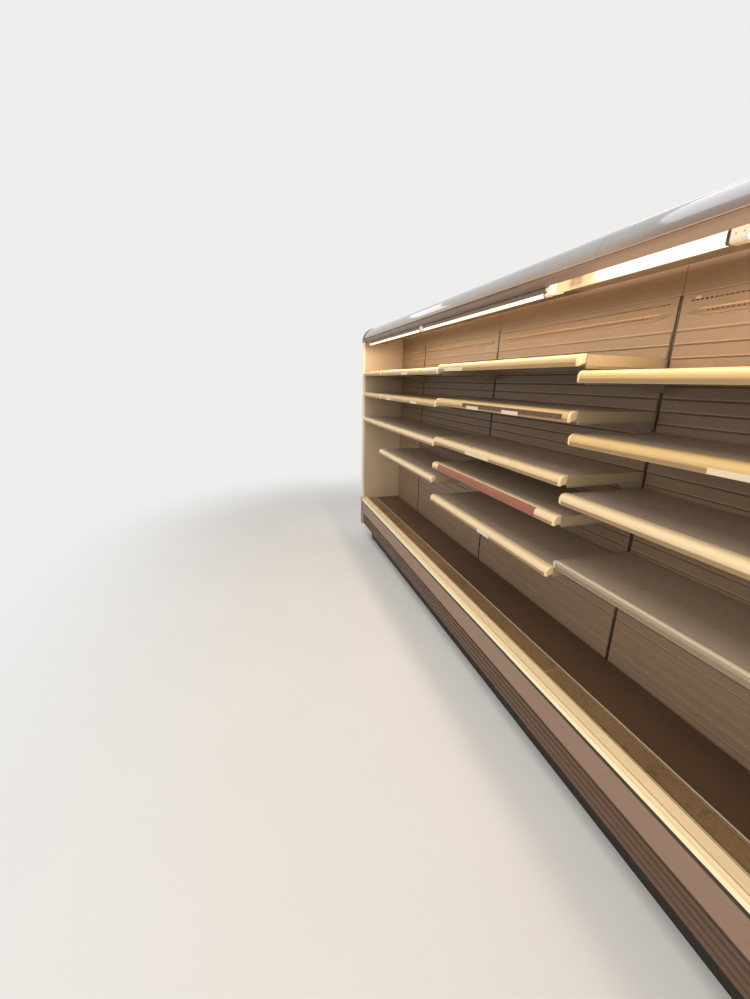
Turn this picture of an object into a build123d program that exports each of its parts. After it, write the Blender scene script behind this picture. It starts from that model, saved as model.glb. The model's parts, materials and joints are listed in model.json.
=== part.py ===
"""Open-fronted refrigerated display cabinet that stands against a shop wall, with four shelf bays.

X runs along the cabinet, the front faces -Y and Z is up.
The origin is in the middle of the footprint, on the floor. Sizes are in millimetres.
"""
import os

from build123d import *

# Overall sizes
bay_length = 1125.0
end_bay_length = 562.5
cabinet_depth = 600.0
side_height = 2114.0
underside_height = 145.0
end_panel_thickness = 36.0

# Sheet metal and fits
sheet = 2.0
fit_gap = 0.3
butt_gap = 1.0

# Insulated carcass
tub_setback = 38.0
tub_wall = 40.0
tub_floor = 50.0
tub_corner_radius = 20.0
rear_wall_thickness = 60.0
roof_thickness = 58.0

# Plinth under the carcass
plinth_setback = 95.0
plinth_rear_setback = 32.0
plinth_end_inset = 70.0
plinth_flange = 40.0
bearer_width = 60.0
bearer_wall = 4.0

# Ribbed kick panel and flat front panel
kick_panel_depth = 18.0
kick_panel_top = 277.0
kick_grooves = 4
kick_groove_width = 10.0
kick_groove_depth = 6.0
kick_groove_slope = 2.5
front_panel_depth = 33.0
front_panel_top = 399.0
front_panel_lip = 15.0

# Coping along the top of the front
shadow_gap = 9.0
coping_height = 30.0
coping_width = 62.0
coping_setback = 2.0
coping_radius = 8.0
coping_wall = 4.0
coping_groove_from_front = 13.0
coping_groove_width = 4.0
coping_groove_depth = 2.0

# Return air grille and deck
deck_above_tub = 22.0
deck_sheet = 3.0
grille_width = 84.0
grille_slot_rows = 4
grille_slots_in_row = 3
grille_slot_width = 9.0
grille_slot_margin = 30.0
deck_lip = 8.0
support_sheet = 4.0
support_flange = 20.0

# Uprights and back panels
back_face_from_front = 408.0
upright_width = 30.0
panel_below_tub_top = 13.0
ridge_pitch = 47.0
ridge_slope = 4.0
ridge_relief = 3.0
first_ridge_above_deck = 25.0
last_ridge_below_ceiling = 184.0
air_slots_below_ceiling = (157.0, 118.0)
air_slot_length = 12.0
air_slot_height = 5.0
air_slot_pitch = 176.0
air_slot_end_margin = 110.0
slot_band_height = 27.0
slot_band_relief = 5.0
slot_band_taper = 60.0
slot_band_end_margin = 15.0
header_height = 96.0

# Canopy
nose_radius = 121.0
nose_sheet = 3.0
nose_edge_below_top = 94.0
nose_flange = 25.0
edging_thickness = 4.0
edging_along_top = 75.0
valance_below_top = 130.0
valance_slope = 5.0
valance_setback = 15.0
valance_bottom_width = 45.0
outlet_width = 70.0
outlet_depth = 20.0
outlet_slots_per_bay = 3
outlet_slot_width = 46.0
outlet_slot_margin = 20.0
ceiling_strip_width = 85.0
ceiling_below_top = 80.0
rib_sheet = 3.0

# Lamps under the canopy
lamp_shares = (2, 2, 1, 1)
lamp_is_boxed = (False, False, True, True)
lamp_end_margin = 110.0
lamp_gap = 8.0
lamp_from_front = 38.0
tube_diameter = 16.0
tube_drop = 26.0
holder_length = 24.0
holder_width = 24.0
holder_height = 36.0
holder_radius = 8.0
batten_width = 20.0
batten_height = 14.0
diffuser_height = 32.0
housing_length = 40.0
diffuser_width = 36.0
diffuser_wall = 2.0
diffuser_radius = 6.0

# Heights of the shelf tops, from the top down
shelf_heights = {
    "end_bay": (1716.0, 1523.0, 1282.0),
    "far_bay": (1716.0, 1523.0, 1282.0, 1045.0),
    "middle_bay": (1730.0, 1537.0, 1302.0, 1144.0, 929.0),
    "near_bay": (1675.0, 1459.0, 1238.0, 962.0),
}
bays_with_flat_lowest_rail = ("near_bay",)
shelf_fold = 38.0
shelf_setback = 41.0
shelf_end_gap = 3.0
shelf_back_gap = 10.0
rail_depth = 36.0
rail_height = 41.0
rail_head = 18.0
rail_radius = 20.0
rail_groove_from_top = 25.0
flat_rail_depth = 16.0
flat_rail_height = 28.0
flat_rail_head = 9.0
flat_rail_radius = 2.0
flat_rail_groove_from_top = 11.0
rail_above_shelf = 2.0
rail_skirt = 5.0
rail_cap = 4.0
rail_foot_radius = 3.0
rail_groove_height = 2.0
rail_groove_depth = 1.5
bracket_sheet = 3.0
bracket_side_gap = 1.0
bracket_front_height = 43.0
bracket_rear_height = 68.0
bracket_rear_length = 87.0
bracket_slope_length = 35.0
hook_pitch = 25.0
hook_below_top = 4.0
hook_height = 10.0
hook_drop = 6.0
hook_thickness = 4.0
hook_clearance = 1.0

# Trims on the front edges of the end panels
trim_sheet = 2.0
trim_leg = 22.0
trim_above_coping = 2.0

# Lines that follow from the sizes above
front = -cabinet_depth / 2
back = cabinet_depth / 2
full_bays = len(shelf_heights) - 1
inner_length = end_bay_length + full_bays * bay_length
left_face = -inner_length / 2
right_face = inner_length / 2
joints = [left_face, left_face + end_bay_length]
joints += [joints[1] + bay_length * (n + 1) for n in range(full_bays)]
bays = dict(zip(shelf_heights, zip(joints[:-1], joints[1:])))

side_front = front + edging_thickness
tub_front = front + tub_setback
tub_inside = tub_front + tub_wall
tub_top = front_panel_top + shadow_gap
floor_top = underside_height + tub_floor
wall_front = back - rear_wall_thickness
roof_bottom = side_height - roof_thickness
coping_front = front + coping_setback
coping_back = coping_front + coping_width
coping_top = tub_top + coping_height
grille_front = coping_back + sheet
grille_back = grille_front + grille_width
deck_front = grille_back + sheet
deck_height = tub_top + deck_above_tub
back_face = front + back_face_from_front
upright_face = back_face + sheet
joint_gap = 2 * (shelf_end_gap + sheet + bracket_sheet + bracket_side_gap)
panel_top = side_height - ceiling_below_top
support_front = tub_inside + fit_gap
nose_middle_y = side_front + nose_radius
nose_middle_z = side_height - nose_radius
nose_edge_height = side_height - nose_edge_below_top
nose_edge_reach = (nose_radius ** 2 - (nose_edge_height - nose_middle_z) ** 2) ** 0.5
valance_height = side_height - valance_below_top
valance_front = front + valance_setback + valance_slope
outlet_front = valance_front + valance_bottom_width
outlet_back = outlet_front + outlet_width
outlet_top = valance_height + sheet + outlet_depth
strip_back = outlet_back + ceiling_strip_width
lamp_middle = front + lamp_from_front
shelf_front = front + shelf_setback
shelf_back = back_face - shelf_back_gap
round_rail = (rail_depth, rail_height, rail_head, rail_radius, rail_groove_from_top)
flat_rail = (
    flat_rail_depth,
    flat_rail_height,
    flat_rail_head,
    flat_rail_radius,
    flat_rail_groove_from_top,
)
trim_bottom = coping_top + trim_above_coping


def block(x, y, z):
    """A box from its low and high values along each axis."""
    low, high = zip(x, y, z)
    size = [b - a for a, b in zip(low, high)]
    middle = [(a + b) / 2 for a, b in zip(low, high)]
    return Pos(*middle) * Box(*size)


def along_x(section, x_low, x_high):
    """A section drawn in the YZ plane and carried along X."""
    return extrude(Plane.YZ.offset(x_low) * section, amount=x_high - x_low)


def outline(*corners):
    """A flat face inside straight lines."""
    return make_face(Polyline(*corners, close=True))


def window(y, z):
    """A rectangular face from its low and high values."""
    return outline((y[0], z[0]), (y[1], z[0]), (y[1], z[1]), (y[0], z[1]))


def folded(*corners, thickness=sheet):
    """The section of a folded sheet, which lies on the left of its outer corners as they run."""
    line = [Vector(*corner) for corner in corners]
    runs = [(b - a).normalized() for a, b in zip(line, line[1:])]
    sides = [Vector(-run.Y, run.X) for run in runs]
    inner = []
    for corner, before, after in zip(line, sides[:1] + sides, sides + sides[-1:]):
        inner.append(corner + (before + after) * (thickness / (1 + before.dot(after))))
    return outline(*line, *reversed(inner))


def corner(face, y_side, z_side):
    """The corner of a face that lies furthest towards a side."""
    return max(face.vertices(), key=lambda v: y_side * v.X + z_side * v.Y)


def rounded_side(y_front, z_low, z_high, radius):
    """The side view of the cabinet, with its front top corner rounded."""
    side = window((y_front, back), (z_low, z_high))
    return fillet(corner(side, -1, 1), radius)


def cut_all(shape, tools):
    """Takes every tool out of a shape in one step."""
    return shape - Compound(tools) if tools else shape


def save(name, *solids):
    """Writes one node from its solids."""
    shape = solids[0] if len(solids) == 1 else Compound(list(solids))
    export_step(shape, os.path.join("parts", name + ".step"))


def build_plinth():
    """Recessed skirt, rear rail and the box bearers between them, which carry the carcass."""
    low, high = left_face + plinth_end_inset, right_face - plinth_end_inset
    skirt_front = front + plinth_setback
    rail_back = back - plinth_rear_setback
    skirt = folded(
        (skirt_front + plinth_flange, underside_height),
        (skirt_front, underside_height),
        (skirt_front, 0),
        (skirt_front + plinth_flange, 0),
    )
    rail = folded(
        (rail_back - plinth_flange, 0),
        (rail_back, 0),
        (rail_back, underside_height),
        (rail_back - plinth_flange, underside_height),
    )
    save("plinth_skirt", along_x(skirt, low, high))
    save("plinth_rear_rail", along_x(rail, low, high))
    bearers = []
    for middle in [low + bearer_width / 2] + joints[1:-1] + [high - bearer_width / 2]:
        x = (middle - bearer_width / 2, middle + bearer_width / 2)
        y = (skirt_front + plinth_flange, rail_back - plinth_flange)
        hollow_x = (x[0] + bearer_wall, x[1] - bearer_wall)
        hollow_z = (bearer_wall, underside_height - bearer_wall)
        bearers.append(block(x, y, (0, underside_height)) - block(hollow_x, y, hollow_z))
    save("plinth_bearers", *bearers)


def build_carcass():
    """Insulated tub, rear wall and roof."""
    tub = outline(
        (tub_front, underside_height),
        (back, underside_height),
        (back, floor_top),
        (tub_inside, floor_top),
        (tub_inside, tub_top),
        (tub_front, tub_top),
    )
    inner_corner = min(tub.vertices(), key=lambda v: (Vector(v) - Vector(tub_inside, floor_top)).length)
    tub = fillet(inner_corner, tub_corner_radius)
    wall = window((wall_front, back), (floor_top, roof_bottom))
    roof = window((nose_middle_y, back), (roof_bottom, side_height))
    save("base_tub", along_x(tub, left_face, right_face))
    save("rear_wall", along_x(wall, left_face, right_face))
    save("roof_panel", along_x(roof, left_face, right_face))


def build_front():
    """Ribbed kick panel, flat front panel and the coping above the shadow gap."""
    kick_front = tub_front - kick_panel_depth
    groove_floor = kick_front + kick_groove_depth
    rib_pitch = (kick_panel_top - underside_height + kick_groove_width) / (kick_grooves + 1)
    ribs = []
    for n in range(kick_grooves + 1):
        low = underside_height + n * rib_pitch
        high = low + rib_pitch - kick_groove_width
        ribs += [(groove_floor, low), (kick_front, low + kick_groove_slope)]
        ribs += [(kick_front, high - kick_groove_slope), (groove_floor, high)]
    kick = outline((tub_front, underside_height), *ribs, (tub_front, kick_panel_top))
    save("kick_panel", along_x(kick, left_face, right_face))

    panel_front = tub_front - front_panel_depth
    panel = folded(
        (tub_front, front_panel_top - front_panel_lip),
        (tub_front, front_panel_top),
        (panel_front, front_panel_top),
        (panel_front, kick_panel_top),
        (tub_front, kick_panel_top),
        (tub_front, kick_panel_top + front_panel_lip),
    )
    save("front_panel", along_x(panel, left_face, right_face))

    coping = window((coping_front, coping_back), (tub_top, coping_top))
    front_corners = coping.vertices().sort_by(Axis.X)[:2]
    coping = fillet(front_corners, coping_radius)
    chamber_y = (coping_front + coping_wall, coping_back - coping_wall)
    chamber_z = (tub_top + coping_wall, coping_top - coping_wall)
    chamber = window(chamber_y, chamber_z)
    chamber = fillet(chamber.vertices().sort_by(Axis.X)[:2], coping_radius - coping_wall)
    groove_low = coping_front + coping_groove_from_front
    groove = window(
        (groove_low, groove_low + coping_groove_width),
        (coping_top - coping_groove_depth, coping_top),
    )
    save("bumper_coping", along_x(coping - chamber - groove, left_face, right_face))


def build_grille(x_low, x_high):
    """An inverted channel with rows of long slots."""
    section = folded(
        (grille_back, tub_top),
        (grille_back, deck_height),
        (grille_front, deck_height),
        (grille_front, tub_top),
    )
    slot_room = x_high - x_low - 2 * grille_slot_margin
    slot_length = slot_room / grille_slots_in_row - grille_slot_margin / 2
    row_pitch = grille_width / (grille_slot_rows + 1)
    slots = []
    for row in range(grille_slot_rows):
        y = grille_front + row_pitch * (row + 1)
        for n in range(grille_slots_in_row):
            x = x_low + grille_slot_margin + slot_room * (n + 0.5) / grille_slots_in_row
            slots.append(Pos(x, y, deck_height) * Box(slot_length, grille_slot_width, 3 * sheet))
    return cut_all(along_x(section, x_low, x_high), slots)


def build_deck_pan(x_low, x_high):
    """A deck pan with all edges folded down and a low lip along its front."""
    section = folded(
        (shelf_back, tub_top),
        (shelf_back, deck_height),
        (deck_front, deck_height),
        (deck_front, tub_top),
        thickness=deck_sheet,
    )
    pan = along_x(section, x_low, x_high)
    ends = [(x_low, x_low + deck_sheet), (x_high - deck_sheet, x_high)]
    for x in ends:
        pan += block(x, (deck_front, shelf_back), (tub_top, deck_height))
    pan += block((x_low, x_high), (deck_front, deck_front + sheet), (deck_height, deck_height + deck_lip))
    return pan


def build_deck_support(x, width_left, width_right):
    """A plate across the tub under a joint of the deck, with a flange that carries its edges."""
    web = (x - min(width_left, support_sheet / 2), x + min(width_right, support_sheet / 2))
    rear = back_face - butt_gap
    plate = outline(
        (support_front + tub_corner_radius, floor_top),
        (rear, floor_top),
        (rear, tub_top),
        (support_front, tub_top),
        (support_front, floor_top + tub_corner_radius),
    )
    flange_x = (x - width_left, x + width_right)
    return along_x(plate, *web) + block(flange_x, (support_front, rear), (tub_top - support_sheet, tub_top))


def build_deck():
    """Grilles and deck pans of all bays, and the plates that carry them."""
    grilles = []
    pans = []
    supports = []
    for low, high in bays.values():
        inside = (low + butt_gap / 2, high - butt_gap / 2)
        grilles.append(build_grille(*inside))
        pans.append(build_deck_pan(*inside))
        supports.append(build_deck_support((low + high) / 2, support_flange, support_flange))
    for x in joints:
        width_left = support_flange if x > left_face else 0
        width_right = support_flange if x < right_face else 0
        supports.append(build_deck_support(x, width_left, width_right))
    save("return_air_grilles", *grilles)
    save("deck_pans", *pans)
    save("deck_supports", *supports)


def hook_heights(shelf_top):
    """Lower edges of the hooks of a shelf's brackets."""
    bracket_top = shelf_top - sheet
    first = bracket_top - hook_below_top - hook_height
    return [first, first - hook_pitch]


def bracket_places(low, high):
    """Where the two brackets of a bay's shelf stand: inside the folded ends of the shelf."""
    inset = shelf_end_gap + sheet
    return [(low + inset, low + inset + bracket_sheet), (high - inset - bracket_sheet, high - inset)]


def hook_slots():
    """The slots of the uprights that take the hooks."""
    slots = []
    slot_height = hook_height + hook_drop + hook_clearance
    for name, (low, high) in bays.items():
        for x in bracket_places(low, high):
            slot_x = (x[0] - hook_clearance / 2, x[1] + hook_clearance / 2)
            for shelf_top in shelf_heights[name]:
                for z in hook_heights(shelf_top):
                    slots.append(block(slot_x, (back_face, upright_face + 2 * sheet), (z, z + slot_height)))
    return slots


def build_uprights():
    """Slotted channels at the joints and ends, from the tub floor to the roof."""
    slots = hook_slots()
    uprights = []
    for x in joints:
        low = max(x - upright_width / 2, left_face)
        high = min(x + upright_width / 2, right_face)
        channel = folded((low, wall_front), (low, upright_face), (high, upright_face), (high, wall_front))
        channel = extrude(Plane.XY.offset(floor_top) * channel, amount=roof_bottom - floor_top)
        own_slots = [slot for slot in slots if low < slot.center().X < high]
        uprights.append(cut_all(channel, own_slots))
    save("uprights", *uprights)


def build_back_panel(bay_low, bay_high):
    """A ridged sheet with a wider header, a raised band and two rows of air slots near its top."""
    x_low, x_high = bay_low + joint_gap / 2, bay_high - joint_gap / 2
    crest = back_face - ridge_relief
    first_ridge = deck_height + first_ridge_above_deck
    ridges = int((panel_top - last_ridge_below_ceiling - first_ridge) // ridge_pitch)
    line = [(back_face, tub_top - panel_below_tub_top), (back_face, first_ridge)]
    for n in range(ridges):
        low = first_ridge + n * ridge_pitch
        high = low + ridge_pitch
        line += [(crest, low + ridge_slope), (crest, high - ridge_slope), (back_face, high)]
    line.append((back_face, panel_top))
    rear_line = [(y + sheet, z) for y, z in reversed(line)]
    panel = along_x(outline(*line, *rear_line), x_low, x_high)
    header_x = (bay_low + butt_gap / 2, bay_high - butt_gap / 2)
    panel += block(header_x, (back_face, upright_face), (panel_top - header_height, panel_top))

    band_low, band_high = x_low + slot_band_end_margin, x_high - slot_band_end_margin
    band_z = panel_top - air_slots_below_ceiling[0]
    half = slot_band_height / 2
    band = outline(
        (band_low, band_z),
        (band_low + slot_band_taper, band_z - half),
        (band_high - slot_band_taper, band_z - half),
        (band_high, band_z),
        (band_high - slot_band_taper, band_z + half),
        (band_low + slot_band_taper, band_z + half),
    )
    panel += extrude(Plane.XZ.offset(-back_face) * band, amount=slot_band_relief)

    slot_room = x_high - x_low - 2 * air_slot_end_margin
    gaps = int(slot_room // air_slot_pitch)
    first = (x_low + x_high - gaps * air_slot_pitch) / 2
    cut_depth = 2 * (slot_band_relief + 2 * sheet)
    slots = []
    for depth in air_slots_below_ceiling:
        for n in range(gaps + 1):
            place = Pos(first + n * air_slot_pitch, back_face, panel_top - depth)
            slots.append(place * Box(air_slot_length, cut_depth, air_slot_height))
    return cut_all(panel, slots)


def build_back_panels():
    """One back panel for each bay, with the slotted uprights bare between them below the headers."""
    save("back_panels", *[build_back_panel(low, high) for low, high in bays.values()])


def build_nose_and_ribs():
    """The curved nose along the top of the front, and the plates that hold it."""
    centre = Pos(nose_middle_y, nose_middle_z)
    disc = centre * Circle(nose_radius)
    hollow = centre * Circle(nose_radius - nose_sheet)
    lip_top = nose_edge_height + nose_sheet
    shell = (disc - hollow) & window((front, nose_middle_y), (nose_edge_height, side_height))
    lip = disc & window((front, front + valance_setback), (nose_edge_height, lip_top))
    flange_y = (nose_middle_y - nose_sheet, nose_middle_y)
    flange = window(flange_y, (side_height - nose_flange, side_height - nose_sheet))
    save("canopy_nose", along_x(shell + lip + flange, left_face, right_face))

    rib_front = valance_front + sheet + butt_gap
    ceiling_top = panel_top + sheet
    plate = outline(
        (rib_front, outlet_top),
        (strip_back - sheet, outlet_top),
        (strip_back - sheet, ceiling_top),
        (upright_face, ceiling_top),
        (upright_face, roof_bottom),
        (rib_front, roof_bottom),
    )
    inner_disc = centre * Circle(nose_radius - nose_sheet - fit_gap)
    plate &= inner_disc + window((nose_middle_y, upright_face), (outlet_top, roof_bottom))
    bow = inner_disc & window((front, flange_y[0] - fit_gap), (lip_top, side_height))
    ribs = []
    for x in joints:
        low = min(max(x - rib_sheet / 2, left_face), right_face - rib_sheet)
        ribs.append(along_x(plate + bow, low, low + rib_sheet))
    save("canopy_ribs", *ribs)


def build_canopy_underside():
    """The lamp valance, the slotted air outlet and the stepped ceiling of the canopy."""
    valance = folded(
        (nose_middle_y - nose_edge_reach, nose_edge_height - sheet),
        (front + valance_setback, nose_edge_height - sheet),
        (valance_front, valance_height),
        (outlet_front, valance_height),
        (outlet_front, outlet_top),
    )
    save("lamp_valance", along_x(valance, left_face, right_face))

    ceiling = folded(
        (outlet_back, outlet_top),
        (outlet_back, valance_height),
        (strip_back, valance_height),
        (strip_back, panel_top),
        (upright_face, panel_top),
    )
    outlets = []
    ceilings = []
    for low, high in bays.values():
        x = (low + fit_gap, high - fit_gap)
        outlet = block(x, (outlet_front, outlet_back), (outlet_top - outlet_depth, outlet_top))
        slot_pitch = (high - low - outlet_slot_margin) / outlet_slots_per_bay
        slot_size = (slot_pitch - outlet_slot_margin, outlet_slot_width, 3 * outlet_depth)
        middle_y = (outlet_front + outlet_back) / 2
        slots = []
        for n in range(outlet_slots_per_bay):
            slot_x = low + outlet_slot_margin / 2 + slot_pitch * (n + 0.5)
            slots.append(Pos(slot_x, middle_y, outlet_top) * Box(*slot_size))
        outlets.append(cut_all(outlet, slots))
        ceilings.append(along_x(ceiling, *x))
    save("air_outlet_grilles", *outlets)
    save("ceiling_panels", *ceilings)


def build_lamps():
    """A row of lamps under the valance: bare tubes under battens, and milky covers with one housing."""
    row_low = left_face + lamp_end_margin
    unit = (inner_length - 2 * lamp_end_margin) / sum(lamp_shares)
    batten_y = (lamp_middle - batten_width / 2, lamp_middle + batten_width / 2)
    batten = window(batten_y, (valance_height - batten_height, valance_height))
    holder_y = (lamp_middle - holder_width / 2, lamp_middle + holder_width / 2)
    holder = window(holder_y, (valance_height - holder_height, valance_height))
    holder = fillet(holder.vertices().sort_by(Axis.Y)[:2], holder_radius)
    box_y = (lamp_middle - diffuser_width / 2, lamp_middle + diffuser_width / 2)
    box_z = (valance_height - diffuser_height, valance_height)
    cover = window(box_y, box_z)
    cover = fillet(cover.vertices().sort_by(Axis.Y)[:2], diffuser_radius)
    inside = window(
        (box_y[0] + diffuser_wall, box_y[1] - diffuser_wall),
        (box_z[0] + diffuser_wall, box_z[1] - diffuser_wall),
    )
    inside = fillet(inside.vertices().sort_by(Axis.Y)[:2], diffuser_radius - diffuser_wall)
    tube = Pos(lamp_middle, valance_height - tube_drop) * Circle(tube_diameter / 2)
    holders = []
    battens = []
    tubes = []
    covers = []
    for share, boxed in zip(lamp_shares, lamp_is_boxed):
        row_high = row_low + share * unit
        low, high = row_low + lamp_gap / 2, row_high - lamp_gap / 2
        if boxed:
            cover_x = (low + housing_length, high - diffuser_wall)
            holders.append(along_x(cover, low, cover_x[0]))
            covers.append(along_x(cover - inside, *cover_x) + along_x(cover, cover_x[1], high))
        else:
            tube_x = (low + holder_length, high - holder_length)
            tubes.append(along_x(tube, *tube_x))
            battens.append(along_x(batten, *tube_x))
            for x in ((low, tube_x[0]), (tube_x[1], high)):
                holders.append(along_x(holder, *x))
        row_low = row_high
    save("lamp_holders", *holders)
    save("lamp_battens", *battens)
    save("lamp_tubes", *tubes)
    save("lamp_diffusers", *covers)


def build_shelf(x, top, places):
    """A shelf tray with its edges folded down, and notched at the back where its brackets pass."""
    section = folded(
        (shelf_back, top - shelf_fold),
        (shelf_back, top),
        (shelf_front, top),
        (shelf_front, top - shelf_fold),
    )
    tray = along_x(section, *x)
    for edge in ((x[0], x[0] + sheet), (x[1] - sheet, x[1])):
        tray += block(edge, (shelf_front, shelf_back), (top - shelf_fold, top))
    notch_y = (shelf_back - sheet, shelf_back)
    notch_z = (top - shelf_fold, top - sheet)
    return cut_all(tray, [block(place, notch_y, notch_z) for place in places])


def build_bracket(x, shelf_top):
    """A bracket plate, deeper at its rear, with hooks that drop behind the upright's face."""
    top = shelf_top - sheet
    plate_front = shelf_front + sheet + fit_gap
    slope_end = back_face - bracket_rear_length
    plate = outline(
        (plate_front, top - bracket_front_height),
        (slope_end - bracket_slope_length, top - bracket_front_height),
        (slope_end, top - bracket_rear_height),
        (upright_face, top - bracket_rear_height),
        (upright_face, top),
        (plate_front, top),
    )
    tab_front = upright_face + sheet + fit_gap
    for z in hook_heights(shelf_top):
        neck = window((upright_face - sheet, tab_front), (z, z + hook_height))
        tab = window((tab_front, tab_front + hook_thickness), (z - hook_drop, z + hook_height))
        plate += neck + tab
    return along_x(plate, *x)


def build_rail(x, shelf_top, depth, height, head, radius, groove_from_top):
    """A ticket rail on a shelf's front edge: a rounded head over a skirt, with a groove and closed ends."""
    top = shelf_top + rail_above_shelf
    face = shelf_front - depth
    full = window((face, shelf_front), (top - height, top))
    full = fillet(corner(full, -1, 1), radius)
    full = fillet(corner(full, -1, -1), rail_foot_radius)
    hollow = window((face + rail_skirt, shelf_front), (top - height, top - head))
    groove_top = top - groove_from_top
    groove = window((face, face + rail_groove_depth), (groove_top - rail_groove_height, groove_top))
    ends = (x[0] + rail_cap, x[1] - rail_cap)
    rail = along_x(full - hollow - groove, *ends)
    return rail + along_x(full, x[0], ends[0]) + along_x(full, ends[1], x[1])


def build_shelves():
    """The shelves of each bay with their brackets and ticket rails."""
    for name, (low, high) in bays.items():
        x = (low + shelf_end_gap, high - shelf_end_gap)
        places = bracket_places(low, high)
        tops = shelf_heights[name]
        shapes = [round_rail] * len(tops)
        if name in bays_with_flat_lowest_rail:
            shapes[-1] = flat_rail
        trays = []
        brackets = []
        rails = []
        for top, shape in zip(tops, shapes):
            trays.append(build_shelf(x, top, places))
            brackets += [build_bracket(place, top) for place in places]
            rails.append(build_rail(x, top, *shape))
        save(name + "_shelves", *trays)
        save(name + "_brackets", *brackets)
        save(name + "_ticket_rails", *rails)


def build_ends():
    """End panels, the trims on their front edges and the edging round their tops."""
    edging_top = side_height + edging_thickness
    side = rounded_side(side_front, underside_height, side_height, nose_radius)
    edged = rounded_side(front, underside_height, edging_top, nose_radius + edging_thickness)
    edging_y = (front, nose_middle_y + edging_along_top)
    edging = (edged - side) & window(edging_y, (valance_height, edging_top))
    for name, inner, sign in (("left", left_face, -1), ("right", right_face, 1)):
        outer = inner + sign * end_panel_thickness
        panel_x = sorted((inner, outer))
        save(name + "_end_panel", along_x(side, *panel_x))
        save(name + "_nose_edging", along_x(edging, *panel_x))
        web_x = sorted((inner - sign * trim_sheet, outer + sign * trim_sheet))
        trim = block(web_x, (front, side_front), (trim_bottom, valance_height))
        outer_leg = sorted((outer, outer + sign * trim_sheet))
        inner_leg = sorted((inner, inner - sign * trim_sheet))
        for leg in (outer_leg, inner_leg):
            trim += block(leg, (front, front + trim_leg), (trim_bottom, valance_height))
        save(name + "_end_trim", trim)
        cap_x = sorted((inner, outer + sign * trim_sheet))
        cap = block(cap_x, (front, side_front), (underside_height, trim_bottom))
        cap += block(outer_leg, (front, front + trim_leg), (underside_height, trim_bottom))
        save(name + "_kick_cap", cap)


os.makedirs("parts", exist_ok=True)
build_plinth()
build_carcass()
build_front()
build_deck()
build_uprights()
build_back_panels()
build_nose_and_ribs()
build_canopy_underside()
build_lamps()
build_shelves()
build_ends()
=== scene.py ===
"""Looks of the open display cabinet: procedural finishes, fine metal and plastic pieces, light and camera.

Everything is in metres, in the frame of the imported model. The cabinet's front faces -Y.
"""

import json
from math import asin, cos, degrees, pi, radians, sin, sqrt
from types import SimpleNamespace

import bmesh
import bpy
from mathutils import Matrix, Vector


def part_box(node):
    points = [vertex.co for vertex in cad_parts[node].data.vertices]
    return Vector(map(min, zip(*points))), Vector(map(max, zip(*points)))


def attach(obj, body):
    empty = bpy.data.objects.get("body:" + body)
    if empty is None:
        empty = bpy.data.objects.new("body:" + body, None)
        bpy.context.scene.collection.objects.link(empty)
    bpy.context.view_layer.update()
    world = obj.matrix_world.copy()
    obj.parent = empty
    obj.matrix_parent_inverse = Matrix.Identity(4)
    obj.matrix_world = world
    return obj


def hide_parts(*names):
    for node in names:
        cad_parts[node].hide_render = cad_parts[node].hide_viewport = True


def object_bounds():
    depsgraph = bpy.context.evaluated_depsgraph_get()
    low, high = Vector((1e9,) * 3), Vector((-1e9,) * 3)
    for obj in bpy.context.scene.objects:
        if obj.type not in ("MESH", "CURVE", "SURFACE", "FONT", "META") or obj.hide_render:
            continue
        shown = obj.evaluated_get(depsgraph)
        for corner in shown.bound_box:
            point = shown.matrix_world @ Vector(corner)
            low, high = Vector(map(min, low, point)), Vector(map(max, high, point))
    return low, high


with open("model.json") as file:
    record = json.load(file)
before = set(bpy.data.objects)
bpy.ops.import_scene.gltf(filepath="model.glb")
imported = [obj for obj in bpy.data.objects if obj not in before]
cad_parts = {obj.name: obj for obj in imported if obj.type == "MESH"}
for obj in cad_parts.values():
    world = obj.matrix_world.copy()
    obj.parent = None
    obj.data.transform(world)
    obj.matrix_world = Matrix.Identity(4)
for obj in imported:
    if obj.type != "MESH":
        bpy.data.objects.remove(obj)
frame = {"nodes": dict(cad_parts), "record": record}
cad_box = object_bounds()

BAYS = ("end_bay", "far_bay", "middle_bay", "near_bay")

# Camera, matched to the photograph
CAMERA_PLACE = (2.040, -1.380, 1.630)
CAMERA_YAW = radians(16.998)
CAMERA_PITCH = radians(-16.314)
CAMERA_ROLL = radians(-1.012)
CAMERA_LENS = 19.403

# Light
WORLD_STRENGTH = 0.40
BACKGROUND = (0.86, 0.855, 0.845)
FLOOR_COLOUR = (0.68, 0.67, 0.655)
FLOOR_FADE = (0.7, 3.4)
LAMP_POWER = 4.6
LAMP_BACK_POWER = 0.3
LAMP_LIGHT = (1, 0.80, 0.56)
LAMP_LIGHT_WIDTH = 0.02
LAMP_LIGHT_GAPS = (0.004, 0.003)
LAMP_LIGHT_AIM = (0.3, 0.03)

# Studio lights: place, aim, size, power and colour
STUDIO_LIGHTS = {
    "key": ((0.3, -4.3, 3.3), (0, 0, 1.0), (6.0, 2.6), 70, (1, 0.97, 0.93)),
    "top": ((0, -1.7, 4.3), (0, -0.6, 0.6), (6.0, 2.0), 100, (1, 0.97, 0.93)),
    "back": ((-0.6, 4.4, 3.2), (0, 0.3, 0.8), (5.0, 2.5), 70, (1, 0.98, 0.95)),
    "fill": ((3.6, -2.6, 1.6), (0, 0, 1.0), (2.0, 2.0), 34, (1, 0.95, 0.88)),
}

# Ceiling lights, where the photo's highlights on the nose reflect them: middle and size
CEILING_LIGHTS = (((0.78, -0.02), (0.9, 1.1)), ((-2.45, -0.38), (0.85, 0.7)))
CEILING_HEIGHT = 2.91
CEILING_LIGHT_GLOW = 1.4
CEILING_LIGHT = (0.88, 0.86, 1)

# Where a noise's values mostly lie
NOISE_RANGE = (0.3, 0.7)

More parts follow.
